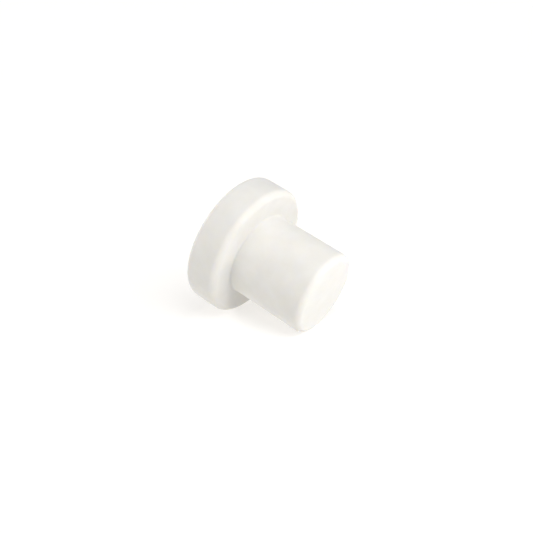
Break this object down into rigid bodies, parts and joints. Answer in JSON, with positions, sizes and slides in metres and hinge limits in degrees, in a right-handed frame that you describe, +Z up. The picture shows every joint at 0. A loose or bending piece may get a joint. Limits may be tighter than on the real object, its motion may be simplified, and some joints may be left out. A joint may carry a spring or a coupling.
{
  "type": "wall anchor",
  "caption": "Closed-end expansion wall anchor: a white flanged elastomer sleeve moulded round a blind threaded insert, which a screw draws in to swell the sleeve and grip the wall.",
  "frame": {"origin": "on the surface that the anchor lies on, under the middle of its bounding box", "axes": "+Z is up from that surface. The anchor lies on its side, on the flange's rim and the edge of the tip, so its axis is in the XZ plane: it runs from the screw's mouth to the closed tip towards +X, and dips 17.0 degrees below it. The XZ plane is a plane of symmetry."},
  "size_m": [0.021, 0.0202, 0.0204],
  "materials": {
    "elastomer": "milky white, satin to slightly glossy, slightly translucent",
    "brass": "turned, lightly dulled"
  },
  "bodies": {
    "sleeve": {"sleeve": "elastomer"},
    "insert": {"threaded_insert": "brass"}
  },
  "joints": [
    {"name": "nut_draw", "type": "slide", "parent": "sleeve", "child": "insert", "axis": [-0.9564, 0, 0.2919], "range_m": [0, 0.0025], "stiffness_N_per_m": 100000, "deforming": ["sleeve"]}
  ]
}
